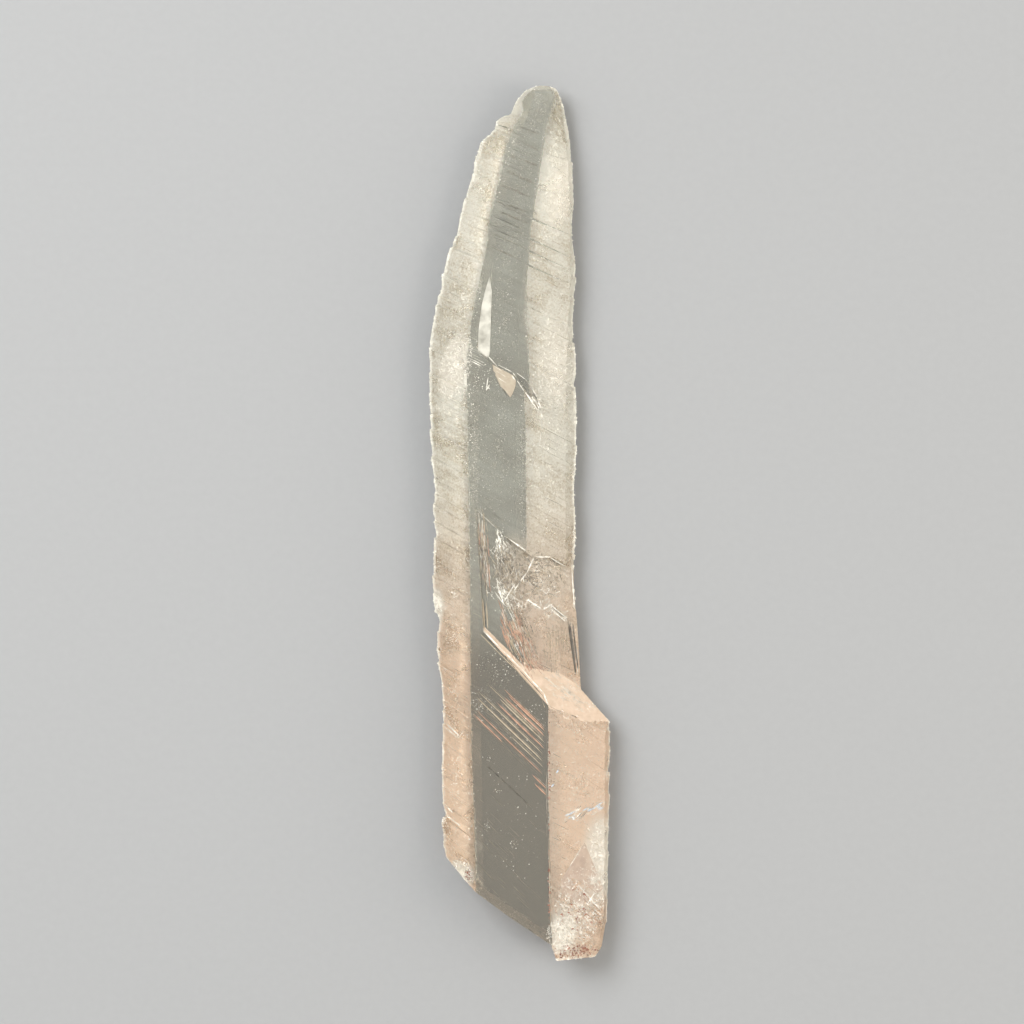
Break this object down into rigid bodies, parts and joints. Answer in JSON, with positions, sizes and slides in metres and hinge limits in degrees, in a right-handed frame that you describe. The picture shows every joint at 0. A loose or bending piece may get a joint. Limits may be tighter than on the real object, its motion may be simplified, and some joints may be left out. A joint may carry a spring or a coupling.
{
  "type": "nifontovite crystal specimen",
  "caption": "Clear bladed mineral crystal with frosted bevelled sides, a stepped rim, a broken notch and a broad shoulder, lying on its flat back face.",
  "frame": {"origin": "middle of the bounding box's underside, on the plane of the flat back face", "axes": "+Y along the crystal to its tip, +X to the side with the broad shoulder, +Z out of the front face, away from the resting face"},
  "size_m": [0.0196, 0.0938, 0.0062],
  "materials": {
    "crystal": "satin"
  },
  "bodies": {
    "root": {"crystal": "crystal"}
  },
  "joints": []
}
